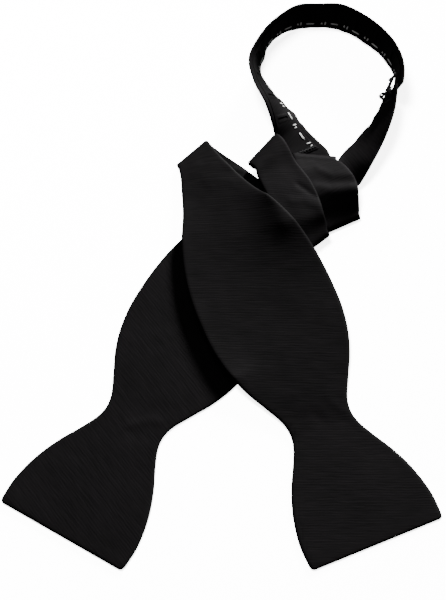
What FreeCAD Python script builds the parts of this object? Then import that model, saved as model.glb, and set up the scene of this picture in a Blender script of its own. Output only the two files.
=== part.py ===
import FreeCAD, Part
import math
import os

os.makedirs("parts", exist_ok=True)
V = FreeCAD.Vector

# driving dimensions, mm
cloth = 0.5          # face and back cloth of a blade
filler = 0.4         # interlining between them
ply = 2 * cloth + filler
gap = 0.25           # air between two folded layers
rim = 1.6            # turned edge of the back cloth
waist = 64.0         # end of a blade to its narrowest place
endHalf = 32.7       # half width of the straight end
waistHalf = 15.4
strap = 18.0         # neckband width
tapeWidth = 12.0
tapeThick = 0.4
markThick = 0.15
hookBar = 0.6        # radius of the hook's round bar

# where each blade lies: middle of its waist and the way it points, degrees from +X
frontWaist = V(45.2, -63.05, 0)
frontAngle = 112.9
rearWaist = V(-41.2, -63.0, 0)
rearAngle = 59.4

# heights of the folded layers, bottom of each, counted up from the floor
step = ply + gap
zRearNeck = step
zHookStrap = 2 * step
zUnder = 3 * step
zCross = 4 * step
zTop = 5 * step

# ends of the fold lines in plan, (left, right) seen along the strap
foldOne = ((-21.9, 70.3), (-7.3, 84.1))
foldTwo = ((35.3, 20.2), (50.6, 33.0))
foldThree = ((12.9, 68.2), (26.9, 84.5))
foldFive = ((39.0, 53.5), (64.6, 57.2))
foldFour = ((48.7, 35.6), (65.9, 43.9))
foldSix = ((33.8, 74.4), (55.0, 72.3))

# half width of a blade against the distance from its end
tipSide = [(2.0, 33.0), (10, 33.1), (20, 31.9), (30, 29.3), (40, 25.3), (50, 20.1),
           (58, 16.5), (waist, waistHalf)]
bladeSide = [(waist, waistHalf), (68, 15.9), (73, 17.6), (80, 21.3), (90, 26.5), (100, 30.2),
             (111, 32.5), (123, 33.3), (136, 33.0), (149, 31.5), (161, 28.7),
             (173, 24.6), (186, 18.5), (199, 13.9)]

# underside height of the blade cloth against the distance from its end
frontRise = [(waist - 4, 0), (waist, 0), (80, 0.5), (92, 1.8), (120, 2.1), (134, 3.4), (146, 7.2),
             (157, 10.0), (181, 10.0), (194, 7.6), (208, 5.2), (232, 4.2)]
rearRise = [(waist - 4, 0), (165, 0), (198, zRearNeck), (235, zRearNeck)]


def save(shape, node):
    shape.translate(shift)
    if not shape.isValid():
        shape.fix(0.001, 0.001, 0.01)
        print("fixed", node, shape.isValid())
    shape.exportStep("parts/" + node + ".step")
    made.append((node, shape))


def alongAxis(waistPoint, angle):
    a = math.radians(angle)
    u = V(math.cos(a), math.sin(a), 0)
    v = V(math.sin(a), -math.cos(a), 0)

    def place(du, dv, z=0.0):
        return waistPoint + u * (du - waist) + v * dv + V(0, 0, z)
    return place


def spline(points):
    c = Part.BSplineCurve()
    c.interpolate(points)
    return c.toShape()


def prism(edges):
    face = Part.Face(Part.Wire(Part.__sortEdges__(edges)))
    solid = face.extrude(V(0, 0, 60))
    solid.translate(V(0, 0, -10))
    return solid


def tipOutline(place, inset):
    r = 2.0
    k = inset
    side = []
    for du, half in tipSide:
        side.append((du, half - k))
    side[0] = (r + k, tipSide[0][1] - k)
    edges = []
    corners = []
    for sign in (-1, 1):
        pts = [place(du, sign * half) for du, half in side]
        edges.append(spline(pts))
        start = pts[0]
        corner = place(k, sign * (endHalf - r - k))
        bulge = place(k + 0.6, sign * (endHalf - k - 0.45))
        edges.append(Part.Arc(corner, bulge, start).toShape())
        corners.append(corner)
    edges.append(Part.makeLine(corners[0], corners[1]))
    edges.append(Part.makeLine(place(waist, -(waistHalf - k)), place(waist, waistHalf - k)))
    return prism(edges)


def bladeOutline(place, foldLine, inset):
    k = inset
    ends = []
    edges = []
    for sign, corner in zip((-1, 1), foldLine):
        pts = [place(du, sign * (half - k)) for du, half in bladeSide]
        u = place(1, 0) - place(0, 0)
        middle = (V(foldLine[0][0], foldLine[0][1], 0) + V(foldLine[1][0], foldLine[1][1], 0)) * 0.5
        last = V(corner[0], corner[1], 0)
        back = (middle - last)
        back.normalize()
        last = last + back * k - u * (k * 0.5)
        pts.append(last)
        edges.append(spline(pts))
        ends.append(last)
    edges.append(Part.makeLine(ends[0], ends[1]))
    edges.append(Part.makeLine(place(waist, -(waistHalf - k)), place(waist, waistHalf - k)))
    return prism(edges)


def slab(place, rise, low, high):
    # a bent sheet of the given height range, wide enough for any outline
    lower = [place(du, -60, z + low) for du, z in rise]
    upper = [place(du, -60, z + high) for du, z in rise]
    ring = lower + upper[::-1]
    face = Part.Face(Part.makePolygon(ring + [ring[0]]))
    across = place(0, 1) - place(0, 0)
    return face.extrude(across * 120)


def layers(place, outline, rise, name):
    whole = outline(place, 0.0)
    pocket = outline(place, rim)
    inside = outline(place, rim + 0.3)
    face = whole.common(slab(place, rise, cloth + filler, ply))
    back = whole.common(slab(place, rise, 0, cloth + filler))
    back = back.cut(pocket.common(slab(place, rise, cloth, cloth + filler + 0.5)))
    middle = inside.common(slab(place, rise, cloth + 0.02, cloth + filler - 0.02))
    save(face, name + "_face")
    save(middle, name + "_interlining")
    save(back, name + "_back")


def strip(stations):
    # flat cloth through lines across the strap: left end, right end, underside height
    wires = []
    for left, right, z in stations:
        a = V(left[0], left[1], z)
        b = V(right[0], right[1], z)
        up = V(0, 0, ply)
        wires.append(Part.makePolygon([a, b, b + up, a + up, a]))
    return Part.makeLoft(wires, True, True)


def turn(line, low, high, toward):
    # half round roll of cloth that joins two layers at a fold line
    a = V(line[0][0], line[0][1], (low + high) / 2)
    b = V(line[1][0], line[1][1], (low + high) / 2)
    way = b - a
    long = way.Length
    way.normalize()
    out = V(way.y, -way.x, 0)
    if out.dot(V(toward[0], toward[1], 0)) < 0:
        out = out * -1
    radius = (high - low) / 2
    roll = Part.makeCylinder(radius, long, a, way)
    if radius - ply > 0.2:
        roll = roll.cut(Part.makeCylinder(radius - ply, long, a, way))
    size = radius + 1
    box = Part.Face(Part.makePolygon([
        a + V(0, 0, -size), b + V(0, 0, -size), b + V(0, 0, size), a + V(0, 0, size),
        a + V(0, 0, -size)])).extrude(out * size)
    return roll.common(box)


def joined(shapes):
    whole = shapes[0].fuse(shapes[1:])
    return whole.removeSplitter()


class Band:
    """Neckband lying on its lower edge, through stations of lower and upper edge."""

    def __init__(self, stations, lift):
        lower = [V(*s[0]) + V(0, 0, lift) for s in stations]
        upper = [V(*s[1]) + V(0, 0, lift) for s in stations]
        middles = [(a + b) * 0.5 for a, b in zip(lower, upper)]
        self.lower = lower
        self.across = []
        self.normal = []
        self.at = [0.0]
        for i in range(1, len(middles)):
            self.at.append(self.at[-1] + (middles[i] - middles[i - 1]).Length)
        for i in range(len(middles)):
            ahead = middles[min(i + 1, len(middles) - 1)]
            behind = middles[max(i - 1, 0)]
            way = ahead - behind
            across = upper[i] - lower[i]
            across.normalize()
            normal = across.cross(way)
            normal.normalize()
            if i == 0 and normal.z < 0:
                normal = normal * -1
            if i > 0 and normal.dot(self.normal[-1]) < 0:
                normal = normal * -1
            self.across.append(across)
            self.normal.append(normal)

    def rail(self, side, height):
        pts = []
        for a, w, n in zip(self.lower, self.across, self.normal):
            pts.append(a + w * side + n * height)
        c = Part.BSplineCurve()
        c.interpolate(Points=pts, Parameters=self.at)
        return c

    def solid(self, side0, side1, h0, h1, s0, s1):
        rails = []
        for side, h in ((side0, h0), (side1, h0), (side1, h1), (side0, h1)):
            rails.append(self.rail(side, h).toShape(s0, s1))
        faces = []
        for i in range(4):
            faces.append(Part.makeRuledSurface(rails[i], rails[(i + 1) % 4]))
        for k in (0, 1):
            pts = [r.Vertexes[k].Point for r in rails]
            faces.append(Part.makeFilledFace(Part.makePolygon(pts + [pts[0]]).Edges))
        shell = Part.makeShell([f for face in faces for f in face.Faces])
        shell.sewShape()
        solid = Part.makeSolid(shell)
        if solid.Volume < 0:
            solid.reverse()
        return solid

    def frame(self, s):
        p = self.rail(strap / 2, 0).value(s)
        q = self.rail(strap / 2, 1).value(s)
        r = self.rail(strap / 2 + 1, 0).value(s)
        n = (q - p).normalize()
        w = (r - p).normalize()
        t = w.cross(n).normalize()
        n = t.cross(w).normalize()
        return p, t, w, n


def placed(shape, frame):
    p, t, w, n = frame
    m = FreeCAD.Matrix(t.x, w.x, n.x, p.x, t.y, w.y, n.y, p.y, t.z, w.z, n.z, p.z, 0, 0, 0, 1)
    whole = shape.copy()
    whole.Placement = FreeCAD.Placement(m)
    return whole


# the long half carries the size tape, the short half carries the hook
sizeBand = Band([
    ((51.1, 80.2, 0), (34.3, 73.6, 0)),
    ((47.3, 84.4, 0), (31.3, 76.2, 0)),
    ((43.5, 88.5, 0), (28.4, 79.0, 0)),
    ((39.8, 93.6, 0), (25.9, 83.9, 1.6)),
    ((36, 99, 0), (23.6, 90.6, 7.4)),
    ((28.3, 107.3, 0), (19.7, 100.0, 14.0)),
    ((22.0, 115.5, 0), (14.5, 110.7, 15.7)),
    ((17.6, 124.0, 0), (12.4, 123.2, 17.2)),
    ((19.6, 132.0, 0), (16.3, 132.9, 17.7)),
    ((21.8, 140.0, 0), (21.3, 140.3, 18.0)),
    ((28.6, 146.4, 0), (28.1, 147.2, 18.0)),
    ((37.5, 150.0, 0), (36.9, 153.1, 17.7)),
    ((47.5, 150.4, 0), (47.6, 153.8, 17.7)),
    ((57.5, 149.4, 0), (58.8, 153.7, 17.4)),
    ((66.4, 144.9, 0), (68.7, 148.6, 17.5)),
    ((75.6, 137.9, 0), (78.2, 140.6, 17.6)),
    ((82.4, 129.8, 0), (85.0, 131.5, 17.7)),
    ((86.0, 121.8, 0), (88.6, 122.1, 17.8)),
    ((84.6, 112.5, 0), (88.7, 111.1, 17.5)),
    ((83.0, 109.4, 0), (88.1, 107.6, 17.2)),
], 0.2)
hookBand = Band([
    ((39.2, 53.7, zHookStrap), (64.5, 57.4, zHookStrap)),
    ((45.6, 60.7, zHookStrap), (65.7, 59.1, zHookStrap)),
    ((52, 67.8, zHookStrap), (67, 60.9, zHookStrap)),
    ((58.5, 77.5, 1.5), (72, 67.5, 8.2)),
    ((65.5, 85.5, 0.2), (77.3, 77, 10.9)),
    ((71.5, 92.6, 0.2), (81.3, 86.0, 13.9)),
    ((75.9, 99.9, 0.2), (84.2, 95.8, 15.4)),
    ((79.2, 106.6, 0.2), (85.3, 103.7, 16.4)),
    ((80.7, 110.6, 0.2), (85.8, 108.4, 16.9)),
], 0.0)
endOfSize = sizeBand.at[-1]
endOfTape = sizeBand.at[-2] - 0.5      # before the two halves overlap
endOfHook = hookBand.at[-1]

tapeLow = (strap - tapeWidth) / 2
skin = 0.02          # glue line between sewn layers
tapeTop = ply + skin + tapeThick
slotPitch = 12.7     # half an inch of collar size
hookSlot = endOfTape - 4.1
slots = int((hookSlot - 14.0) / slotPitch) + 1


def tapeAndMarks():
    # tape on the inner side, one slot and one woven mark for every size
    tape = sizeBand.solid(tapeLow, tapeLow + tapeWidth, ply + skin, tapeTop,
                          8.0, endOfTape)
    marks = []
    for i in range(slots):
        s = hookSlot - i * slotPitch
        tape = tape.cut(sizeBand.solid(6.5, 13.0, ply - 0.3, tapeTop + 0.5, s - 0.6, s + 0.6))
        # a dash beside the slot, then a tick and a dot half way to the next
        for a, b, c, d in ((4.2, 5.0, -2.1, 2.1), (3.9, 5.9, -5.4, -4.7), (4.4, 5.3, -7.4, -6.3)):
            if s + c > 11.0 and s + d < endOfTape:
                marks.append(sizeBand.solid(a, b, tapeTop + skin, tapeTop + skin + markThick,
                                            s + c, s + d))
    save(tape, "size_tape")
    save(Part.makeCompound(marks), "size_marks")
    tack = sizeBand.solid(3.6, 14.4, tapeTop + skin, tapeTop + 0.3, 9.0, 10.2)
    save(tack, "tape_tack")


def hookAndKeeper():
    # the hook turns on its eye bar inside the keeper sewn to the short half
    p, t, w, n = hookBand.frame(endOfHook - 3.0)
    eye = p + n * (ply + 1.6)
    q, qt, qw, qn = sizeBand.frame(hookSlot)
    far = q + qn * (tapeTop + 1.4 + hookBar)
    x = far - eye
    reach = x.Length
    x.normalize()
    z = x.cross(w).normalize()
    if z.dot(n) < 0:
        z = z * -1
    y = z.cross(x).normalize()
    half = 5.4
    hook = Part.makeCylinder(hookBar, 2 * half, V(0, -half, 0), V(0, 1, 0))
    hook = hook.fuse(Part.makeCylinder(hookBar, 2 * half - 1, V(reach, -half + 0.5, 0), V(0, 1, 0)))
    hook = hook.fuse(Part.makeBox(reach, 3.0, 0.9, V(0, -1.5, -0.45)))
    hook = placed(hook.removeSplitter(), (eye, x, y, z))
    save(hook, "hook")
    lug = Part.makeBox(4.4, 2.6, 2.7, V(-2.2, 2.8, ply + 0.25))
    lug = lug.fuse(Part.makeBox(4.4, 2.6, 2.7, V(-2.2, -5.4, ply + 0.25)))
    lug = lug.cut(Part.makeCylinder(1.1, 12, V(0, -6, ply + 1.6), V(0, 1, 0)))
    frame = (p, w.cross(n).normalize(), w, n)
    save(placed(lug, frame), "hook_keeper")
    save(hookBand.solid(4, 14, ply + skin, ply + 0.35, endOfHook - 8.0, endOfHook - 6.8),
         "hook_tack")


made = []
shift = V(0.77, -9.98, 0)     # puts the origin under the middle of the whole


def build():
    frontPlace = alongAxis(frontWaist, frontAngle)
    rearPlace = alongAxis(rearWaist, rearAngle)
    flat = [(-5, 0), (waist + 5, 0)]

    def frontBlade(place, inset):
        return bladeOutline(place, foldOne, inset)

    def rearBlade(place, inset):
        return bladeOutline(place, foldSix, inset)

    layers(frontPlace, tipOutline, flat, "front_tip")
    layers(frontPlace, frontBlade, frontRise, "front_blade")
    layers(rearPlace, tipOutline, flat, "rear_tip")
    layers(rearPlace, rearBlade, rearRise, "rear_blade")

    # front half of the strap, fold by fold
    save(joined([
        turn(foldOne, 1.0, 5.6, (-1, 1)),
        strip([(foldOne[0], foldOne[1], 1.0), ((-2, 53), (11, 66), zHookStrap),
               (foldTwo[0], foldTwo[1], zHookStrap)]),
    ]), "front_strap_first")
    save(joined([
        turn(foldTwo, zHookStrap, zUnder + ply, (1, -1)),
        strip([(foldTwo[0], foldTwo[1], zUnder), ((31.1, 29.3), (49, 39.5), 6.9),
               ((27.3, 37.5), (47.6, 44.5), zTop), ((20.5, 52), (42.4, 58.7), zTop),
               ((17, 60), (36, 68.5), zTop), (foldThree[0], foldThree[1], zTop)]),
    ]), "front_strap_cross")
    save(joined([
        turn(foldThree, zUnder, zTop + ply, (-1, 1)),
        strip([(foldThree[0], foldThree[1], zUnder), ((17.0, 65.9), (28.4, 76.5), zUnder),
               ((21.5, 63.3), (31.2, 70.2), zUnder), ((28.0, 59.7), (37.0, 64.8), zUnder),
               (foldFive[0], foldFive[1], zUnder)]),
        turn(foldFive, zHookStrap, zUnder + ply, (0, -1)),
    ]), "front_strap_under")
    save(hookBand.solid(0, strap, 0, ply, 0, endOfHook), "hook_strap")

    # rear half of the strap
    save(joined([
        turn(foldSix, zRearNeck, zCross + ply, (0, 1)),
        strip([(foldSix[0], (57.5, 72.04), zCross), ((36.0, 66), (62.1, 64.3), zCross),
               ((39.8, 58.5), (64.5, 59.2), zCross), ((42.6, 50.2), (65.2, 54.0), zCross),
               ((46.2, 43.0), (65.6, 49.0), 4.6), (foldFour[0], foldFour[1], zRearNeck)]),
    ]), "rear_strap_cross")
    save(joined([
        turn(foldFour, 0, zRearNeck + ply, (1, -1)),
        strip([(foldFour[0], foldFour[1], 0), ((34.45, 73.2), (51.25, 79.8), 0)]),
    ]), "rear_strap_under")
    save(sizeBand.solid(0, strap, 0, ply, 0, endOfSize), "size_strap")
    tapeAndMarks()
    hookAndKeeper()


build()
for node, shape in made:
    print(node, shape.isValid(), len(shape.Solids), round(shape.Volume, 1))
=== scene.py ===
import bpy
import math
import numpy as np
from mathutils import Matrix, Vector, noise


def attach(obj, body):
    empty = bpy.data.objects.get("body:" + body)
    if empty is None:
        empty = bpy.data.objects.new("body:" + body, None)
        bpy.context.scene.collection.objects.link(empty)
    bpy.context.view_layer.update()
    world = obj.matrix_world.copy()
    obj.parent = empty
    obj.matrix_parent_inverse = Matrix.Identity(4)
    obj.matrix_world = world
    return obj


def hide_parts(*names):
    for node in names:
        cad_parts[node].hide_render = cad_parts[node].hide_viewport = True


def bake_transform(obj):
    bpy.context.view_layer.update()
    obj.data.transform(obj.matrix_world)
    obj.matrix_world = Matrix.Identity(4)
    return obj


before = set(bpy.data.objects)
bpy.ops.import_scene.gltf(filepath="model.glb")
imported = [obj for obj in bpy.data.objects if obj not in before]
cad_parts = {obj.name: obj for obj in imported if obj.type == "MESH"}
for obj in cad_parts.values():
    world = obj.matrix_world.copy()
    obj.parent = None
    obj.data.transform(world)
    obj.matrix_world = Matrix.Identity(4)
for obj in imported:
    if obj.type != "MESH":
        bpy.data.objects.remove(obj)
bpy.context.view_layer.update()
bpy.ops.object.select_all(action="DESELECT")
print("frame loaded")

mm = 0.001

# the lie of the tie, in millimetres, drawn round the crossing of the blades
lie = {
    "offset": (0.77, -9.98),        # moves the drawing onto the frame's origin
    "frontWaist": (45.2, -63.05),
    "frontAngle": 112.9,
    "rearWaist": (-41.2, -63.0),
    "rearAngle": 59.4,
    "foldOne": ((-21.9, 70.3), (-7.3, 84.1)),
    "foldTwo": ((35.3, 20.2), (50.6, 33.0)),
    "foldThree": ((12.9, 68.2), (26.9, 84.5)),
    "foldFive": ((39.0, 53.5), (64.6, 57.2)),
    "foldFour": ((48.7, 35.6), (65.9, 43.9)),
    "foldSix": ((33.8, 74.4), (55.0, 72.3)),
}

cloth = {
    "ply": 1.4,          # face, interlining and back together
    "gap": 0.25,
    "waist": 64.0,
    "endHalf": 32.7,
    "corner": 2.0,
    "side": [(2, 32.9), (10, 33.1), (20, 31.9), (30, 29.3), (40, 25.3), (50, 20.1),
             (58, 16.5), (64, 15.4), (70, 16.4), (80, 21.3), (90, 26.5), (100, 30.2),
             (111, 32.5), (123, 33.3), (136, 33.0), (149, 31.5), (161, 28.7),
             (173, 24.6), (186, 18.5), (199, 13.9), (209, 11.4)],
}
step = cloth["ply"] + cloth["gap"]
half = cloth["ply"] / 2


def place(waistPoint, angle, du, dv):
    a = math.radians(angle)
    along = du - cloth["waist"]
    x = waistPoint[0] + along * math.cos(a) + dv * math.sin(a)
    y = waistPoint[1] + along * math.sin(a) - dv * math.cos(a)
    return (x, y)


def easeBetween(table, x):
    # smooth curve through the table's points, without overshoot
    xs = [p[0] for p in table]
    ys = [p[1] for p in table]
    if x <= xs[0]:
        return ys[0]
    if x >= xs[-1]:
        return ys[-1]
    slopes = [(ys[i + 1] - ys[i]) / (xs[i + 1] - xs[i]) for i in range(len(xs) - 1)]
    i = max(k for k in range(len(xs) - 1) if xs[k] <= x)
    before = slopes[i - 1] if i > 0 else slopes[i]
    after = slopes[i + 1] if i + 1 < len(slopes) else slopes[i]
    m0 = 0 if before * slopes[i] <= 0 and i > 0 else (before + slopes[i]) / 2
    m1 = 0 if after * slopes[i] <= 0 and i + 1 < len(slopes) else (after + slopes[i]) / 2
    w = xs[i + 1] - xs[i]
    t = (x - xs[i]) / w
    return ((2 * t ** 3 - 3 * t ** 2 + 1) * ys[i] + (t ** 3 - 2 * t ** 2 + t) * w * m0
            + (3 * t ** 2 - 2 * t ** 3) * ys[i + 1] + (t ** 3 - t ** 2) * w * m1)


def halfWidth(u):
    r = cloth["corner"]
    if u < r:
        return cloth["endHalf"] - r + math.sqrt(max(0, r * r - (r - u) ** 2))
    return easeBetween(cloth["side"], u)


def bladeRows(waistPoint, angle, endLine, pitch):
    # left and right edge of the blade, row after row from its end to the fold
    rows = []
    # where the fold line cuts the two edges, measured along the blade
    a = math.radians(angle)
    ends = []
    for p in endLine:
        dx = p[0] - waistPoint[0]
        dy = p[1] - waistPoint[1]
        ends.append((dx * math.cos(a) + dy * math.sin(a) + cloth["waist"],
                     dx * math.sin(a) - dy * math.cos(a)))
    last = 199.0
    us = [0, 0.15, 0.5, 1.0, 1.6, 2.4] + list(np.arange(4, last + 0.1, pitch))
    for u in us:
        w = halfWidth(u)
        rows.append((place(waistPoint, angle, u, -w), place(waistPoint, angle, u, w)))
    w = halfWidth(last)
    left = [(last, -w), (ends[0][0], ends[0][1])]
    right = [(last, w), (ends[1][0], ends[1][1])]
    count = int((ends[0][0] - last) / pitch) + 2
    for i in range(1, count + 1):
        t = i / count
        # a little flare, so that the side runs on without a corner
        bow = 0.5 * math.sin(math.pi * t)
        l = [left[0][k] + (left[1][k] - left[0][k]) * t for k in (0, 1)]
        r = [right[0][k] + (right[1][k] - right[0][k]) * t for k in (0, 1)]
        rows.append((place(waistPoint, angle, l[0], l[1] + bow),
                     place(waistPoint, angle, r[0], r[1] - bow)))
    return rows


def inside(polygon, x, y):
    # which of the points x, y are inside the plan polygon
    hit = np.zeros(x.shape, bool)
    n = len(polygon)
    for i in range(n):
        x0, y0 = polygon[i]
        x1, y1 = polygon[(i + 1) % n]
        if y0 == y1:
            continue
        crosses = (y0 > y) != (y1 > y)
        hit ^= crosses & (x < (x1 - x0) * (y - y0) / (y1 - y0) + x0)
    return hit


def drape(support, fixed, rounds=3000, sag=0.0006):
    # cloth that rests on the support heights and hangs softly between them
    z = support.copy()
    for i in range(rounds):
        p = np.pad(z, 1, mode="edge")
        mean = (p[:-2, 1:-1] + p[2:, 1:-1] + p[1:-1, :-2] + p[1:-1, 2:]) / 4
        z = np.maximum(support, mean - sag)
        z = np.where(fixed, support, z)
    return z


def smoothRows(keys, pitch):
    # soft curve through rows of (left, right) points, evenly spaced
    k = np.array([list(a) + list(b) for a, b in keys], float)
    reach = np.maximum(np.linalg.norm(np.diff(k[:, :3], axis=0), axis=1),
                       np.linalg.norm(np.diff(k[:, 3:], axis=0), axis=1))
    at = np.concatenate([[0], np.cumsum(np.maximum(reach, 0.05))])
    slope = np.gradient(k, at, axis=0)
    count = int(at[-1] / pitch) + 1
    s = np.linspace(0, at[-1], count)
    out = []
    for v in s:
        i = min(len(at) - 2, int(np.searchsorted(at, v, side="right") - 1))
        w = at[i + 1] - at[i]
        t = (v - at[i]) / w
        p = ((2 * t ** 3 - 3 * t ** 2 + 1) * k[i] + (t ** 3 - 2 * t ** 2 + t) * w * slope[i]
             + (3 * t ** 2 - 2 * t ** 3) * k[i + 1] + (t ** 3 - t ** 2) * w * slope[i + 1])
        out.append(p)
    out = np.array(out)
    return out[:, :3], out[:, 3:]


def level(line, z):
    return ((line[0][0], line[0][1], z), (line[1][0], line[1][1], z))


def between(first, second, t):
    return tuple(tuple(a + (b - a) * t for a, b in zip(p, q)) for p, q in zip(first, second))


def rollOver(line, zFrom, zTo, toward):
    # half round of cloth at a fold
    (x0, y0), (x1, y1) = line
    n = np.array([y1 - y0, x0 - x1], float)
    n /= np.linalg.norm(n)
    if n @ np.array(toward) < 0:
        n = -n
    r = abs(zTo - zFrom) / 2
    rows = []
    for deg in (0, 40, 90, 140, 180):
        out = r * math.sin(math.radians(deg))
        z = (zFrom + zTo) / 2 + (zFrom - zTo) / 2 * math.cos(math.radians(deg))
        rows.append(((x0 + n[0] * out, y0 + n[1] * out, z), (x1 + n[0] * out, y1 + n[1] * out, z)))
    return rows


def acrossSteps(count):
    # positions across the cloth, 0 to 1, closer together near the edges
    edge = np.array([0, 0.004, 0.013, 0.028, 0.05, 0.08])
    inner = np.linspace(0.115, 0.885, count)
    return np.concatenate([edge, inner, 1 - edge[::-1]])


def clothMesh(name, grid, along, across, thick, roundEdge=1.0, ridge=0.0):
    # closed, soft edged cloth around a grid of middle points (rows, columns, 3) in mm
    dAlong = np.gradient(grid, axis=0)
    dAcross = np.gradient(grid, axis=1)
    normal = np.cross(dAcross, dAlong)
    size = np.linalg.norm(normal, axis=2, keepdims=True)
    normal = normal / np.maximum(size, 1e-9)
    rows, cols = grid.shape[:2]
    toEdge = np.minimum(np.abs(across - across[:, :1]), np.abs(across[:, -1:] - across))
    toEnd = np.minimum(along - along[0], along[-1] - along)[:, None]
    near = np.minimum(toEdge, toEnd)
    t = np.clip(near / roundEdge, 0, 1)
    h = thick / 2 * np.sqrt(np.maximum(0, 1 - (1 - t) ** 2))
    h = h + ridge * np.exp(-((near - 2.2) / 1.3) ** 2)
    h[0, :] = 0
    h[-1, :] = 0
    h[:, 0] = 0
    h[:, -1] = 0
    top = grid + normal * h[..., None]
    low = grid - normal * h[..., None]
    verts = list(map(tuple, (top.reshape(-1, 3) * mm)))
    lowIndex = np.zeros((rows, cols), int)
    for i in range(rows):
        for j in range(cols):
            if i in (0, rows - 1) or j in (0, cols - 1):
                lowIndex[i, j] = i * cols + j
            else:
                lowIndex[i, j] = len(verts)
                verts.append(tuple(low[i, j] * mm))
    faces = []
    uvs = []
    pattern = np.stack([across, np.repeat(along[:, None], cols, 1)], axis=2) * mm
    for i in range(rows - 1):
        for j in range(cols - 1):
            corners = [(i, j), (i, j + 1), (i + 1, j + 1), (i + 1, j)]
            faces.append([a * cols + b for a, b in corners])
            uvs += [pattern[a, b] for a, b in corners]
            faces.append([lowIndex[a, b] for a, b in corners[::-1]])
            uvs += [pattern[a, b] for a, b in corners[::-1]]
    mesh = bpy.data.meshes.new(name)
    mesh.from_pydata(verts, [], faces)
    layer = mesh.uv_layers.new(name="weave")
    layer.data.foreach_set("uv", np.array(uvs).ravel())
    mesh.validate()
    mesh.shade_smooth()
    piece = bpy.data.objects.new(name, mesh)
    bpy.context.collection.objects.link(piece)
    return piece


def spread(left, right, steps):
    left = np.asarray(left, float)
    right = np.asarray(right, float)
    return left[:, None, :] + (right - left)[:, None, :] * steps[None, :, None]


def measure(grid):
    # running length along the middle, and distance across from the middle, in mm
    mid = grid[:, grid.shape[1] // 2]
    along = np.concatenate([[0], np.cumsum(np.linalg.norm(np.diff(mid, axis=0), axis=1))])
    d = np.linalg.norm(np.diff(grid, axis=1), axis=2)
    across = np.concatenate([np.zeros((len(grid), 1)), np.cumsum(d, axis=1)], axis=1)
    across -= across[:, -1:] / 2
    return along, across


def crumple(grid, along, across, amount, size, seed):
    # faint hand made unevenness of the cloth
    out = np.zeros(grid.shape[:2])
    for i in range(grid.shape[0]):
        for j in range(grid.shape[1]):
            p = Vector((along[i] / size, across[i, j] / size, seed))
            out[i, j] = noise.noise(p) * amount
    return out


def shifted(grid):
    g = grid.copy()
    g[..., 0] += lie["offset"][0]
    g[..., 1] += lie["offset"][1]
    return g


# ---- front half: blade, four folds of strap and the short end of the neckband
steps = acrossSteps(25)
bladePitch = 2.0
tipRows = 36         # rows of the tip and waist, which lie flat
frontPlan = bladeRows(lie["frontWaist"], lie["frontAngle"], lie["foldOne"], bladePitch)
rearPlan = bladeRows(lie["rearWaist"], lie["rearAngle"], lie["foldSix"], bladePitch)


def flatGrid(plan, steps):
    left = np.array([(a[0], a[1], 0.0) for a, b in plan])
    right = np.array([(b[0], b[1], 0.0) for a, b in plan])
    return spread(left, right, steps)


def outlineOf(plan):
    return [a for a, b in plan] + [b for a, b in plan[::-1]]


zUnder = 3 * step
zCross = 4 * step
zTop = 5 * step
zHook = 2 * step

crossKeys = [
    ((32.4, 26.6), (49.6, 37.2), 6.4),
    ((28.7, 34.6), (48.1, 42.0), zTop + 0.7),
    ((26.6, 39.0), (47.2, 45.8), zTop + 1.0),
    ((20.5, 52.0), (42.4, 58.7), zTop + 0.9),
    ((17.0, 60.0), (36.0, 68.5), zTop + 0.5),
]
underKeys = [
    ((17.0, 65.9), (28.4, 76.5), 5.8),
    ((21.5, 63.3), (31.2, 70.2), zUnder),
    ((28.0, 59.7), (37.0, 64.8), zUnder),
    ((36.0, 55.2), (57.0, 59.0), zUnder),
]


def drapedFront():
    # heights of the front blade: lying on the rear blade and on its own folded strap
    even = np.linspace(0, 1, 31)
    g = flatGrid(frontPlan, even)
    x = g[..., 0]
    y = g[..., 1]
    low = np.zeros(x.shape)
    air = 0.35
    # the left side stands a little clear of the blade below
    clear = 3.6 * np.clip(1 - even / 0.5, 0, 1) ** 0.7
    low = np.where(inside(outlineOf(rearPlan), x, y), cloth["ply"] + air + clear[None, :], low)
    beneath = [lie["foldOne"][0], lie["foldTwo"][0], lie["foldTwo"][1], lie["foldOne"][1]]
    strapTop = 3.3 + cloth["ply"] + air
    d = (x - lie["foldOne"][0][0]) * 0.751 - (y - lie["foldOne"][0][1]) * 0.66
    rising = np.clip(d / 22.0, 0, 1) * (strapTop - 2.0) + 2.0
    low = np.where(inside(beneath, x, y), np.maximum(low, rising), low)
    upper = [lie["foldTwo"][0], (27.3, 37.5), lie["foldThree"][0], lie["foldThree"][1],
             (42.4, 58.7), (47.6, 44.5), lie["foldTwo"][1]]
    d = (x - 43.0) * -0.42 + (y - 26.6) * 0.907
    slope = np.clip(d / 13.0, 0, 1) * 4.5 + zUnder + cloth["ply"] + air
    low = np.where(inside(upper, x, y), np.maximum(low, slope), low)
    us = np.arange(len(frontPlan))
    fixed = np.zeros(x.shape, bool)
    fixed[us < tipRows, :] = True
    low[-1, :] = 2.0
    fixed[-1, :] = True
    return even, drape(low, fixed) + half


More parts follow.
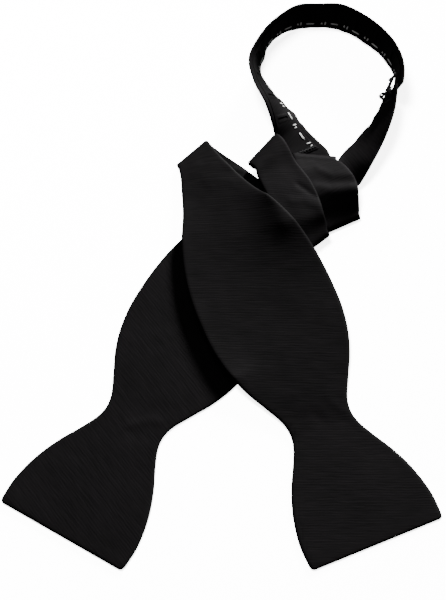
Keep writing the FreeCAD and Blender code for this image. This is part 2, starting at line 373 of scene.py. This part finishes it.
def frontHalf():
    even, z = drapedFront()
    g = flatGrid(frontPlan, steps)
    for i in range(g.shape[0]):
        g[i, :, 2] = np.interp(steps, even, z[i])
    # strap from the first fold on, as rows of edge points
    zEnd = float(g[-1, :, 2].mean())
    zB = 0.9
    keys = rollOver(lie["foldOne"], zEnd, zB, (-1, 1))
    first = level(lie["foldOne"], zB)
    second = level(lie["foldTwo"], 3.3 + half)
    keys.append(between(first, second, 0.06))
    mid = between(first, second, 0.33)
    keys.append(tuple((p[0], p[1], 3.3 + half) for p in mid))
    keys.append(between(level(lie["foldOne"], 3.3 + half), second, 0.7))
    keys.append(between(level(lie["foldOne"], 3.3 + half), second, 0.95))
    keys += rollOver(lie["foldTwo"], 3.3 + half, zUnder + half, (1, -1))
    for a, b, zz in crossKeys:
        keys.append(((a[0], a[1], zz + half), (b[0], b[1], zz + half)))
    keys += rollOver(lie["foldThree"], zTop + half, 7.0, (-1, 1))
    for a, b, zz in underKeys:
        keys.append(((a[0], a[1], zz + half), (b[0], b[1], zz + half)))
    keys += rollOver(lie["foldFive"], zUnder + half, zHook + half, (0, -1))
    keys += bandKeys(hookBand, half)[1:]
    l, r = smoothRows(keys, 1.3)
    strap = spread(l, r, steps)
    grid = np.concatenate([g, strap[1:]])
    return grid, len(g)


def bandKeys(stations, inward):
    # the neckband's rows, moved off its outer face towards the inside of the loop
    lower = np.array([s[0] for s in stations], float)
    upper = np.array([s[1] for s in stations], float)
    mid = (lower + upper) / 2
    rows = []
    before = None
    for i in range(len(stations)):
        way = mid[min(i + 1, len(mid) - 1)] - mid[max(i - 1, 0)]
        w = upper[i] - lower[i]
        w /= np.linalg.norm(w)
        n = np.cross(w, way)
        n /= np.linalg.norm(n)
        if before is None and n[2] < 0:
            n = -n
        if before is not None and n @ before < 0:
            n = -n
        before = n
        rows.append((tuple(lower[i] + n * inward), tuple(upper[i] + n * inward)))
    return rows


sizeBand = [
    ((51.1, 80.2, 0.2), (34.3, 73.6, 0.2)),
    ((47.3, 84.4, 0.2), (31.3, 76.2, 0.2)),
    ((43.5, 88.5, 0.2), (28.4, 79.0, 0.2)),
    ((39.8, 93.6, 0.2), (25.9, 83.9, 1.8)),
    ((36, 99, 0.2), (23.6, 90.6, 7.6)),
    ((28.3, 107.3, 0.2), (19.7, 100.0, 14.2)),
    ((22.0, 115.5, 0.2), (14.5, 110.7, 15.9)),
    ((17.6, 124.0, 0.2), (12.4, 123.2, 17.4)),
    ((19.6, 132.0, 0.2), (16.3, 132.9, 17.9)),
    ((21.8, 140.0, 0.2), (21.3, 140.3, 18.2)),
    ((28.6, 146.4, 0.2), (28.1, 147.2, 18.2)),
    ((37.5, 150.0, 0.2), (36.9, 153.1, 17.9)),
    ((47.5, 150.4, 0.2), (47.6, 153.8, 17.9)),
    ((57.5, 149.4, 0.2), (58.8, 153.7, 17.6)),
    ((66.4, 144.9, 0.2), (68.7, 148.6, 17.7)),
    ((75.6, 137.9, 0.2), (78.2, 140.6, 17.8)),
    ((82.4, 129.8, 0.2), (85.0, 131.5, 17.9)),
    ((86.0, 121.8, 0.2), (88.6, 122.1, 18.0)),
    ((84.6, 112.5, 0.2), (88.7, 111.1, 17.7)),
    ((83.0, 109.4, 0.2), (88.1, 107.6, 17.4)),
]
hookBand = [
    ((39.2, 53.7, zHook), (64.5, 57.4, zHook)),
    ((45.6, 60.7, zHook), (65.7, 59.1, zHook)),
    ((52, 67.8, zHook), (67, 60.9, zHook)),
    ((58.5, 77.5, 1.5), (72, 67.5, 8.2)),
    ((65.5, 85.5, 0.2), (77.3, 77, 10.9)),
    ((71.5, 92.6, 0.2), (81.3, 86.0, 13.9)),
    ((75.9, 99.9, 0.2), (84.2, 95.8, 15.4)),
    ((79.2, 106.6, 0.2), (85.3, 103.7, 16.4)),
    ((80.7, 110.6, 0.2), (85.8, 108.4, 16.9)),
]


def rearHalf():
    g = flatGrid(rearPlan, steps)
    rise = [(0, 0), (160, 0), (198, step), (212, step), (228, 2.9)]
    for i, (a, b) in enumerate(rearPlan):
        u = 2.0 * (i - 4)
        g[i, :, 2] = easeBetween(rise, u) + half
    zNeck = float(g[-1, :, 2].mean())
    keys = rollOver(lie["foldSix"], zNeck, 5.9, (0, 1))
    top = [((34.3, 72.3), (57.0, 70.8), 5.5), ((34.9, 69.8), (59.7, 68.0), 6.1),
           ((36.0, 66.0), (62.1, 64.3), zCross + 0.2), ((39.8, 58.5), (64.5, 59.2), zCross + 0.5),
           ((42.6, 51.2), (65.3, 54.4), zCross + 0.8), ((44.4, 47.0), (65.5, 51.2), 5.7),
           ((47.2, 39.8), (65.8, 46.4), 2.6)]
    for a, b, zz in top:
        keys.append(((a[0], a[1], zz + half), (b[0], b[1], zz + half)))
    keys += rollOver(lie["foldFour"], step + half, half, (1, -1))
    a = level(lie["foldFour"], half)
    b = level(((34.45, 73.2), (51.25, 79.8)), half)
    keys += [between(a, b, 0.12), between(a, b, 0.5), between(a, b, 0.9)]
    for low, high in bandKeys(sizeBand, half):
        keys.append((high, low))
    l, r = smoothRows(keys, 1.3)
    strap = spread(l, r, steps)
    return np.concatenate([g, strap[1:]]), len(g)


# ---- finishes
def newMaterial(name):
    m = bpy.data.materials.new(name)
    m.use_nodes = True
    return m, m.node_tree.nodes, m.node_tree.links, m.node_tree.nodes["Principled BSDF"]


ribbed = {
    "turn": 23.0,        # degrees from square across the blade
    "rib": 0.00062,      # one rib, metres
    "dark": (0.0016, 0.0014, 0.0015, 1),
    "light": (0.0052, 0.0044, 0.0049, 1),
    "rough": 0.62,
}


def ribbedSilk(name, tint=1.0):
    m, nodes, links, shader = newMaterial(name)
    uv = nodes.new("ShaderNodeUVMap")
    uv.uv_map = "weave"
    turn = nodes.new("ShaderNodeMapping")
    turn.inputs["Rotation"].default_value[2] = math.radians(ribbed["turn"])
    links.new(uv.outputs[0], turn.inputs[0])
    # slow waver so the ribs are not ruled lines
    waver = nodes.new("ShaderNodeTexNoise")
    waver.inputs["Scale"].default_value = 160
    waver.inputs["Detail"].default_value = 3
    links.new(turn.outputs[0], waver.inputs["Vector"])
    bend = nodes.new("ShaderNodeVectorMath")
    bend.operation = "MULTIPLY_ADD"
    bend.inputs[1].default_value = (0.0, 0.0009, 0.0)
    links.new(waver.outputs["Color"], bend.inputs[0])
    links.new(turn.outputs[0], bend.inputs[2])
    rib = nodes.new("ShaderNodeTexWave")
    rib.bands_direction = "Y"
    rib.inputs["Scale"].default_value = math.pi / (ribbed["rib"] * 20)
    rib.inputs["Distortion"].default_value = 0
    links.new(bend.outputs[0], rib.inputs["Vector"])
    # broken streaks along the ribs
    stretch = nodes.new("ShaderNodeMapping")
    stretch.inputs["Scale"].default_value = (90, 900, 1)
    links.new(bend.outputs[0], stretch.inputs[0])
    streak = nodes.new("ShaderNodeTexNoise")
    streak.inputs["Scale"].default_value = 1.0
    streak.inputs["Detail"].default_value = 4
    streak.inputs["Roughness"].default_value = 0.6
    links.new(stretch.outputs[0], streak.inputs["Vector"])
    cloud = nodes.new("ShaderNodeTexNoise")
    cloud.inputs["Scale"].default_value = 28
    cloud.inputs["Detail"].default_value = 2
    links.new(uv.outputs[0], cloud.inputs["Vector"])
    mixA = nodes.new("ShaderNodeMath")
    mixA.operation = "MULTIPLY_ADD"
    mixA.inputs[1].default_value = 0.7
    links.new(streak.outputs[0], mixA.inputs[0])
    cloudPart = nodes.new("ShaderNodeMath")
    cloudPart.operation = "MULTIPLY"
    cloudPart.inputs[1].default_value = 0.35
    links.new(cloud.outputs[0], cloudPart.inputs[0])
    links.new(cloudPart.outputs[0], mixA.inputs[2])
    ramp = nodes.new("ShaderNodeValToRGB")
    ramp.color_ramp.elements[0].position = 0.34
    ramp.color_ramp.elements[1].position = 0.72
    ramp.color_ramp.elements[0].color = [c * tint for c in ribbed["dark"][:3]] + [1]
    ramp.color_ramp.elements[1].color = [c * tint for c in ribbed["light"][:3]] + [1]
    links.new(mixA.outputs[0], ramp.inputs[0])
    links.new(ramp.outputs[0], shader.inputs["Base Color"])
    height = nodes.new("ShaderNodeMath")
    height.operation = "MULTIPLY_ADD"
    height.inputs[1].default_value = 2.4
    links.new(streak.outputs[0], height.inputs[0])
    ribPart = nodes.new("ShaderNodeMath")
    ribPart.operation = "MULTIPLY"
    ribPart.inputs[1].default_value = 0.45
    links.new(rib.outputs["Fac"], ribPart.inputs[0])
    links.new(ribPart.outputs[0], height.inputs[2])
    bump = nodes.new("ShaderNodeBump")
    bump.inputs["Strength"].default_value = 0.30
    bump.inputs["Distance"].default_value = 0.00012
    links.new(height.outputs[0], bump.inputs["Height"])
    links.new(bump.outputs[0], shader.inputs["Normal"])
    shader.inputs["Roughness"].default_value = ribbed["rough"]
    shader.inputs["Specular IOR Level"].default_value = 0.03
    shader.inputs["Sheen Weight"].default_value = 0.006
    shader.inputs["Sheen Roughness"].default_value = 0.5
    return m


def smallThread(name, color, rough=0.6):
    m, nodes, links, shader = newMaterial(name)
    where = nodes.new("ShaderNodeTexCoord")
    fuzz = nodes.new("ShaderNodeTexNoise")
    fuzz.inputs["Scale"].default_value = 2500
    links.new(where.outputs["Object"], fuzz.inputs["Vector"])
    ramp = nodes.new("ShaderNodeValToRGB")
    ramp.color_ramp.elements[0].color = [c * 0.65 for c in color[:3]] + [1]
    ramp.color_ramp.elements[1].color = color
    links.new(fuzz.outputs[0], ramp.inputs[0])
    links.new(ramp.outputs[0], shader.inputs["Base Color"])
    shader.inputs["Roughness"].default_value = rough
    shader.inputs["Specular IOR Level"].default_value = 0.15
    return m


def enamelledWire(name):
    m, nodes, links, shader = newMaterial(name)
    where = nodes.new("ShaderNodeTexCoord")
    brush = nodes.new("ShaderNodeTexNoise")
    brush.inputs["Scale"].default_value = 900
    links.new(where.outputs["Object"], brush.inputs["Vector"])
    rough = nodes.new("ShaderNodeMapRange")
    rough.inputs["To Min"].default_value = 0.28
    rough.inputs["To Max"].default_value = 0.5
    links.new(brush.outputs[0], rough.inputs[0])
    links.new(rough.outputs[0], shader.inputs["Roughness"])
    # enamel worn thin in small scattered patches
    worn = nodes.new("ShaderNodeTexNoise")
    worn.inputs["Scale"].default_value = 500
    links.new(where.outputs["Object"], worn.inputs["Vector"])
    ramp = nodes.new("ShaderNodeValToRGB")
    ramp.color_ramp.elements[0].position = 0.62
    ramp.color_ramp.elements[1].position = 0.72
    ramp.color_ramp.elements[0].color = (0.008, 0.008, 0.009, 1)
    ramp.color_ramp.elements[1].color = (0.05, 0.048, 0.046, 1)
    links.new(worn.outputs[0], ramp.inputs[0])
    links.new(ramp.outputs[0], shader.inputs["Base Color"])
    return m


blackSilk = ribbedSilk("blackRibbedSilk")
blackTape = ribbedSilk("blackTape", 0.8)
whiteThread = smallThread("whiteThread", (0.80, 0.80, 0.78, 1))
blackThread = smallThread("blackThread", (0.02, 0.02, 0.021, 1))
enamel = enamelledWire("blackEnamel")
print("finishes made")

frontGrid, frontCount = frontHalf()
rearGrid, rearCount = rearHalf()


creases = {
    "front": [(((-19, 62.0), (-11, 68.6), (-1, 70.6), (9, 67)), 1.5, 0.34, 0),
              (((-18, 56.0), (-8, 61.5), (4, 60)), 2.2, 0.22, 0),
              (((36, 56.5), (40.5, 53.0), (45, 49.5)), 1.3, -0.35, 9.0),
              (((33, 47), (39, 47.5), (45.5, 44.5)), 2.0, 0.25, 9.0),
              (((48, -50), (55, -57), (62, -60)), 2.0, 0.18, 0),
              (((34, -62), (41, -59), (46, -61)), 1.6, -0.16, 0)],
    "rear": [(((-54, -57), (-48, -64.5), (-41, -69)), 1.5, -0.30, 0),
             (((-52, -53.5), (-38, -55), (-22, -58)), 1.7, -0.26, 0),
             (((-47, -66), (-36, -62), (-28, -63)), 1.8, 0.22, 0),
             (((46, 66), (53, 62), (62, 62.5)), 2.0, 0.25, 7.0),
             (((44, 57), (52, 54.5), (61, 56)), 2.2, 0.30, 7.0)],
}


def creased(grid, lines):
    # height added by soft creases, each a line in plan with a width and a height
    out = np.zeros(grid.shape[:2])
    for points, width, height, above in lines:
        best = np.full(grid.shape[:2], 1e9)
        for p, q in zip(points[:-1], points[1:]):
            d = np.array(q, float) - np.array(p, float)
            t = ((grid[..., 0] - p[0]) * d[0] + (grid[..., 1] - p[1]) * d[1]) / (d @ d)
            t = np.clip(t, 0, 1)
            best = np.minimum(best, np.hypot(grid[..., 0] - p[0] - d[0] * t,
                                             grid[..., 1] - p[1] - d[1] * t))
        out += np.where(grid[..., 2] > above, height * np.exp(-(best / width) ** 2), 0)
    return out


def finishHalf(name, grid, band, lowerFirst, seed, lines):
    along, across = measure(grid)
    dAlong = np.gradient(grid, axis=0)
    dAcross = np.gradient(grid, axis=1)
    n = np.cross(dAcross, dAlong)
    n /= np.maximum(np.linalg.norm(n, axis=2, keepdims=True), 1e-9)
    up = np.sign(n[..., 2:3])
    lift = crumple(grid, along, across, 0.30, 24.0, seed)
    lift += crumple(grid, along, across, 0.09, 6.5, seed + 3)
    lift += creased(grid, lines)
    rows = np.arange(len(grid))
    # the neckband's own cloth stays smooth where the tape is sewn on
    calm = np.clip((along - along[0]) / 5, 0, 1) * np.clip((band + 4 - rows) / 8, 0, 1)
    grid = grid + n * up * (lift * calm[:, None])[..., None]
    # puckers along the neckband's lower edge, a faint waver along the upper one
    toLower = across - across[:, :1] if lowerFirst else across[:, -1:] - across
    toUpper = across[:, -1:] - across if lowerFirst else across - across[:, :1]
    side = (grid[:, :1] - grid[:, -1:]) * (1 if lowerFirst else -1)
    side /= np.maximum(np.linalg.norm(side, axis=2, keepdims=True), 1e-9)
    inBand = np.clip((rows - band - 4) / 6, 0, 1)
    for i in range(band, len(grid)):
        a = noise.noise(Vector((along[i] / 4.6, seed, 0)))
        b = noise.noise(Vector((along[i] / 6.5, seed, 5)))
        c = noise.noise(Vector((along[i] / 9.0, seed, 9)))
        low = np.clip(1 - toLower[i] / 3.6, 0, 1) ** 1.3 * inBand[i]
        high = np.clip(1 - toUpper[i] / 3.0, 0, 1) ** 1.3 * inBand[i]
        grid[i] += n[i] * (0.75 * a * low + 0.35 * c * high)[:, None]
        grid[i] += side[i] * ((0.9 * b - 0.25) * low - 0.3 * c * high)[:, None]
    grid[..., 2] = np.maximum(grid[..., 2], 0.72)
    return clothMesh(name, shifted(grid), along, across, cloth["ply"], ridge=0.03), grid, along


def bandStart(grid, count, station):
    # first row of the neckband, the one nearest to its first station
    mid = (np.array(station[0]) + np.array(station[1])) / 2
    d = np.linalg.norm(grid[count:].mean(axis=1) - mid, axis=1)
    return count + int(np.argmin(d))


frontBand = bandStart(frontGrid, frontCount, hookBand[0])
rearBand = bandStart(rearGrid, rearCount, sizeBand[0])
front, frontGrid, frontAlong = finishHalf("frontHalf", frontGrid, frontBand, True, 1.7,
                                          creases["front"])
rear, rearGrid, rearAlong = finishHalf("rearHalf", rearGrid, rearBand, False, 8.3,
                                       creases["rear"])
front.data.materials.append(blackSilk)
rear.data.materials.append(blackSilk)
print("both halves sewn", round(frontAlong[-1]), round(rearAlong[-1]), "mm long")

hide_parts("front_tip_face", "front_tip_interlining", "front_tip_back",
            "front_blade_face", "front_blade_interlining", "front_blade_back",
            "front_strap_first", "front_strap_cross", "front_strap_under", "hook_strap")
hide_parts("rear_tip_face", "rear_tip_interlining", "rear_tip_back",
            "rear_blade_face", "rear_blade_interlining", "rear_blade_back",
            "rear_strap_cross", "rear_strap_under", "size_strap")


for piece, waistPoint, angle, tip in ((front, lie["frontWaist"], lie["frontAngle"], "front_tip"),
                                      (rear, lie["rearWaist"], lie["rearAngle"], "rear_tip")):
    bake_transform(piece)


# ---- what is sewn to the neckband: tape, woven marks, bar tacks and the hook's loops
tape = {
    "from": 2.0,         # mm along the band
    "low": 3.0,          # mm above the band's lower edge
    "wide": 12.0,
    "thick": 0.4,
    "pitch": 12.7,       # half an inch of collar size
    "slotLow": 6.5,
    "slotHigh": 13.0,
    "slotHalf": 0.6,
    "beforeEnd": 0.5,    # tape stops this far before the two halves overlap
    "hookBack": 4.1,     # from the tape's end to the hook's slot
    "firstSlot": 14,     # no slot nearer the start than this
    "mark": 0.12,
}
tack = {"wide": 10.8, "thread": 0.17, "bars": 15}
hookAt = {
    "back": 3.0,
    "middle": 9.0,       # middle of the band, above its lower edge
    "lugIn": 4.1,
    "eye": 1.6,
    "bend": 1.45,        # middle of the loop's cloth round the eye bar
    "loopWide": 2.4,
    "loopThick": 0.35,
}


class Band:
    def __init__(self, stations):
        low, high = smoothRows(bandKeys(stations, 0.0), 0.5)
        mid = (low + high) / 2
        self.s = np.concatenate([[0], np.cumsum(np.linalg.norm(np.diff(mid, axis=0), axis=1))])
        self.low = low
        w = high - low
        self.w = w / np.linalg.norm(w, axis=1, keepdims=True)
        way = np.gradient(mid, axis=0)
        n = np.cross(self.w, way)
        n /= np.linalg.norm(n, axis=1, keepdims=True)
        self.n = n if n[0, 2] > 0 else -n
        marks = [(np.array(a) + np.array(b)) / 2 for a, b in stations]
        self.station = [self.s[int(np.argmin(np.linalg.norm(mid - m, axis=1)))] for m in marks]

    def at(self, s, w, h):
        # point at s along, w above the lower edge, h above the inner face, in mm
        pick = [np.array([np.interp(s, self.s, f[:, k]) for k in range(3)])
                for f in (self.low, self.w, self.n)]
        p = pick[0] + pick[1] * w + pick[2] * (cloth["ply"] + h)
        return (p + np.array([*lie["offset"], 0.0])) * mm


sizeLine = Band(sizeBand)
hookLine = Band(hookBand)
tapeEnd = sizeLine.station[-2] - tape["beforeEnd"]
hookSlot = tapeEnd - tape["hookBack"]
slotCount = int((hookSlot - tape["firstSlot"]) / tape["pitch"]) + 1
slotAt = [hookSlot - i * tape["pitch"] for i in range(slotCount)]


def newPiece(name, verts, faces, material, uvs=None):
    mesh = bpy.data.meshes.new(name)
    mesh.from_pydata([tuple(v) for v in verts], [], faces)
    if uvs is not None:
        layer = mesh.uv_layers.new(name="weave")
        layer.data.foreach_set("uv", np.array([uvs[v] for f in faces for v in f], float).ravel())
    mesh.validate()
    mesh.materials.append(material)
    piece = bpy.data.objects.new(name, mesh)
    bpy.context.collection.objects.link(piece)
    return piece


def tidyNormals(piece):
    bpy.ops.object.select_all(action="DESELECT")
    bpy.context.view_layer.objects.active = piece
    piece.select_set(True)
    bpy.ops.object.mode_set(mode="EDIT")
    bpy.ops.mesh.select_all(action="SELECT")
    bpy.ops.mesh.normals_make_consistent(inside=False)
    bpy.ops.object.mode_set(mode="OBJECT")
    piece.select_set(False)


def sewTape():
    rows = [tape["from"]]
    edges = sorted(e for s in slotAt for e in (s - tape["slotHalf"], s + tape["slotHalf"]))
    for e in edges + [tapeEnd]:
        count = max(1, int((e - rows[-1]) / 0.8))
        first = rows[-1]
        rows += [first + (e - first) * k / count for k in range(1, count + 1)]
    cols = [0, 0.25, 1.2, 2.4, tape["slotLow"] - tape["low"], 5.0, 6.6, 8.2,
            tape["slotHigh"] - tape["low"], 10.9, tape["wide"] - 0.25, tape["wide"]]
    verts = []
    uvs = []
    for side in (0, 1):
        for s in rows:
            for w in cols:
                rim = w in (cols[0], cols[-1])
                h = 0.02 if side == 0 else (0.2 if rim else tape["thick"])
                near = min(abs(s - c) for c in slotAt)
                cut = tape["slotLow"] - 0.9 < w + tape["low"] < tape["slotHigh"] + 0.9
                if side and cut and not rim and near < 1.5:
                    h += 0.14          # corded edge of each slot
                verts.append(sizeLine.at(s, tape["low"] + w, h))
                uvs.append(((w + 40) * mm, s * mm))
    nr, nc = len(rows), len(cols)
    keep = np.ones((nr - 1, nc - 1), bool)
    for i in range(nr - 1):
        mid = (rows[i] + rows[i + 1]) / 2
        if min(abs(mid - s) for s in slotAt) < tape["slotHalf"]:
            for j in range(nc - 1):
                w = tape["low"] + (cols[j] + cols[j + 1]) / 2
                if tape["slotLow"] < w < tape["slotHigh"]:
                    keep[i, j] = False
    faces = []

    def vert(side, i, j):
        return side * nr * nc + i * nc + j
    for i in range(nr - 1):
        for j in range(nc - 1):
            if not keep[i, j]:
                continue
            quad = [(i, j), (i, j + 1), (i + 1, j + 1), (i + 1, j)]
            faces.append([vert(1, a, b) for a, b in quad])
            faces.append([vert(0, a, b) for a, b in (quad[0], quad[3], quad[2], quad[1])])
            for di, dj, a, b in ((-1, 0, (i, j), (i, j + 1)), (1, 0, (i + 1, j), (i + 1, j + 1)),
                                 (0, -1, (i, j), (i + 1, j)), (0, 1, (i, j + 1), (i + 1, j + 1))):
                k, l = i + di, j + dj
                if not (0 <= k < nr - 1 and 0 <= l < nc - 1 and keep[k, l]):
                    faces.append([vert(0, *a), vert(0, *b), vert(1, *b), vert(1, *a)])
    piece = newPiece("sizeTape", verts, faces, blackTape, uvs)
    tidyNormals(piece)
    return piece


def thread(points, radius, verts, faces, sides=6):
    # round thread through points, closed at both ends
    pts = [np.array(p) for p in points]
    start = len(verts)
    up = np.array([0.31, 0.22, 0.92])
    for i, p in enumerate(pts):
        way = pts[min(i + 1, len(pts) - 1)] - pts[max(i - 1, 0)]
        way /= np.linalg.norm(way)
        a = np.cross(way, up)
        a /= np.linalg.norm(a)
        b = np.cross(way, a)
        r = radius * (0.55 if i in (0, len(pts) - 1) else 1.0)
        for k in range(sides):
            t = 2 * math.pi * k / sides
            verts.append(p + (a * math.cos(t) + b * math.sin(t)) * r)
    for i in range(len(pts) - 1):
        for k in range(sides):
            a = start + i * sides + k
            b = start + i * sides + (k + 1) % sides
            faces.append([a, b, b + sides, a + sides])
    faces.append([start + k for k in range(sides)][::-1])
    faces.append([start + (len(pts) - 1) * sides + k for k in range(sides)])


def weaveMarks():
    # a white dash beside each slot and one more below the last, with a tick and a dot between
    verts = []
    faces = []
    top = tape["thick"] + tape["mark"] * 0.6
    for i, s in enumerate(slotAt + [slotAt[-1] - tape["pitch"]]):
        wander = 0.25 * math.sin(i * 2.3)
        lines = [[(s - 2.1, 4.45 + wander), (s + 2.1, 4.45)], [(s - 2.1, 4.8 + wander), (s + 2.1, 4.8)],
                 [(s - 5.35, 3.8), (s - 5.0, 5.9)], [(s - 5.0, 3.9), (s - 4.7, 5.8)],
                 [(s - 7.3, 4.4), (s - 6.5, 5.2)], [(s - 7.2, 5.1), (s - 6.4, 4.5)],
                 [(s - 7.0, 5.5), (s - 6.6, 4.2)]]
        for a, b in lines:
            if a[0] > tape["from"] + 2:
                pts = [sizeLine.at(a[0] + (b[0] - a[0]) * t, a[1] + (b[1] - a[1]) * t, top)
                       for t in (0, 0.2, 0.5, 0.8, 1)]
                thread(pts, 0.24 * mm, verts, faces)
    piece = newPiece("wovenMarks", verts, faces, whiteThread)
    piece.data.shade_smooth()
    return piece


def barTack(name, line, s, low, height):
    # close zigzag of thread across the band, over two laid threads
    verts = []
    faces = []
    for k in (-0.3, 0.3):
        thread([line.at(s + k, low + tack["wide"] * t, height) for t in (0, 0.3, 0.7, 1)],
               tack["thread"] * mm, verts, faces)
    n = tack["bars"]
    zig = []
    for i in range(n + 1):
        w = low + tack["wide"] * i / n
        sign = 1 if i % 2 else -1
        zig.append(line.at(s + sign * 0.75, w, height - 0.05))
        zig.append(line.at(s, w + tack["wide"] / n / 2, height + 0.22))
    thread(zig, tack["thread"] * mm, verts, faces)
    piece = newPiece(name, verts, faces, blackThread)
    piece.data.shade_smooth()
    return piece


def keeperLoops():
    # two cloth loops that hold the hook's eye bar to the short half
    verts = []
    faces = []
    uvs = []
    s0 = hookLine.station[-1] - hookAt["back"]
    for centre in (hookAt["middle"] - hookAt["lugIn"], hookAt["middle"] + hookAt["lugIn"]):
        path = [(s0 + 4.4 - 8.8, 0.1), (s0 - 3.0, 0.25), (s0 - 1.9, 0.7)]
        for deg in range(0, 181, 20):
            a = math.radians(deg)
            path.append((s0 - hookAt["bend"] * math.cos(a), hookAt["eye"] + hookAt["bend"] * math.sin(a)))
        path += [(s0 + 1.9, 0.7), (s0 + 2.6, 0.2)]
        start = len(verts)
        wide = hookAt["loopWide"] / 2
        ring = [(-wide, 0), (-wide, 1), (wide, 1), (wide, 0)]
        for i, (ps, ph) in enumerate(path):
            a = path[max(i - 1, 0)]
            b = path[min(i + 1, len(path) - 1)]
            d = math.hypot(b[0] - a[0], b[1] - a[1])
            ns, nh = -(b[1] - a[1]) / d, (b[0] - a[0]) / d
            for w, side in ring:
                t = hookAt["loopThick"] * (side - 0.5)
                verts.append(hookLine.at(ps + ns * t, centre + w, max(0.03, ph + nh * t)))
                uvs.append(((w + 60) * mm, i * 0.5 * mm))
        m = len(path)
        for i in range(m - 1):
            for k in range(4):
                a = start + i * 4 + k
                b = start + i * 4 + (k + 1) % 4
                faces.append([a, b, b + 4, a + 4])
        faces.append([start + k for k in (3, 2, 1, 0)])
        faces.append([start + (m - 1) * 4 + k for k in range(4)])
    piece = newPiece("hookKeeper", verts, faces, blackSilk, uvs)
    tidyNormals(piece)
    return piece


sizeTape = sewTape()
wovenMarks = weaveMarks()
tapeTack = barTack("tapeTack", sizeLine, 3.4, 3.6, tape["thick"] + 0.1)
hookTack = barTack("hookTack", hookLine, hookLine.station[-1] - 7.4, 3.6, 0.12)
hookKeeper = keeperLoops()
for piece, node, slot in ((sizeTape, "size_tape", "black_tape"), (wovenMarks, "size_marks", "white_thread"),
                          (tapeTack, "tape_tack", "black_thread"), (hookTack, "hook_tack", "black_thread"),
                          (hookKeeper, "hook_keeper", "black_silk")):
    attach(piece, "neckband")
    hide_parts(node)
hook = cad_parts["hook"]
hook.data.materials.clear()
hook.data.materials.append(enamel)
print("tape, marks and hook sewn on")

# ---- floor, light and camera
view = {
    "elevation": 65.5,
    "distance": 1.1,
    "lens": 92.63,
    "sensor": 24.0,
}

lights = {
    # place, size and power in watts
    "top": ((-0.35, 0.75, 1.15), (0.6, 0.6), 3.0),
    "floorWash": ((-0.34, 0.42, 1.6), (0.5, 0.5), 300.0),     # lights the floor alone
}
floorLook = {"color": 0.9, "glow": 5.0, "ambient": 0.12}

# the key light, low and from behind
sunLook = {"from": (0.42, 0.91, 0.36), "strength": 14.5, "angle": 11.0}


def studio():
    bpy.ops.mesh.primitive_plane_add(size=4, location=(0, 0, -0.0002))
    floor = bpy.context.object
    floor.name = "floor"
    m, nodes, links, shader = newMaterial("paleFloor")
    shader.inputs["Base Color"].default_value = [floorLook["color"]] * 3 + [1]
    shader.inputs["Roughness"].default_value = 0.9
    shader.inputs["Specular IOR Level"].default_value = 0.0
    shader.inputs["Emission Color"].default_value = (1, 1, 1, 1)
    shader.inputs["Emission Strength"].default_value = floorLook["glow"]
    floor.data.materials.append(m)
    floor.visible_diffuse = False      # the glow stays off the cloth
    floor.visible_glossy = False
    floorOnly = bpy.data.collections.new("floorOnly")
    floorOnly.objects.link(floor)
    world = bpy.data.worlds.new("studio")
    world.use_nodes = True
    world.node_tree.nodes["Background"].inputs[0].default_value = (1, 1, 1, 1)
    world.node_tree.nodes["Background"].inputs[1].default_value = floorLook["ambient"]
    bpy.context.scene.world = world
    bpy.ops.object.light_add(type="SUN", location=sunLook["from"])
    key = bpy.context.object
    key.name = "key"
    key.data.energy = sunLook["strength"]
    key.data.angle = math.radians(sunLook["angle"])
    key.rotation_euler = (-Vector(sunLook["from"])).to_track_quat("-Z", "Y").to_euler()
    for name, (at, size, power) in lights.items():
        bpy.ops.object.light_add(type="AREA", location=at)
        lamp = bpy.context.object
        lamp.name = name
        lamp.data.shape = "RECTANGLE"
        lamp.data.size, lamp.data.size_y = size
        lamp.data.energy = power
        lamp.rotation_euler = (Vector((0, 0, 0)) - Vector(at)).to_track_quat("-Z", "Y").to_euler()
        if name == "floorWash":
            lamp.light_linking.receiver_collection = floorOnly
    e = math.radians(view["elevation"])
    fwd = Vector((0, math.cos(e), -math.sin(e)))
    aim = Vector((lie["offset"][0] * mm, lie["offset"][1] * mm, 0))
    bpy.ops.object.camera_add(location=aim - fwd * view["distance"],
                              rotation=(math.radians(90 - view["elevation"]), 0, 0))
    camera = bpy.context.object
    camera.data.sensor_fit = "VERTICAL"
    camera.data.sensor_height = view["sensor"]
    camera.data.lens = view["lens"]
    bpy.context.scene.camera = camera


studio()
print("studio set")
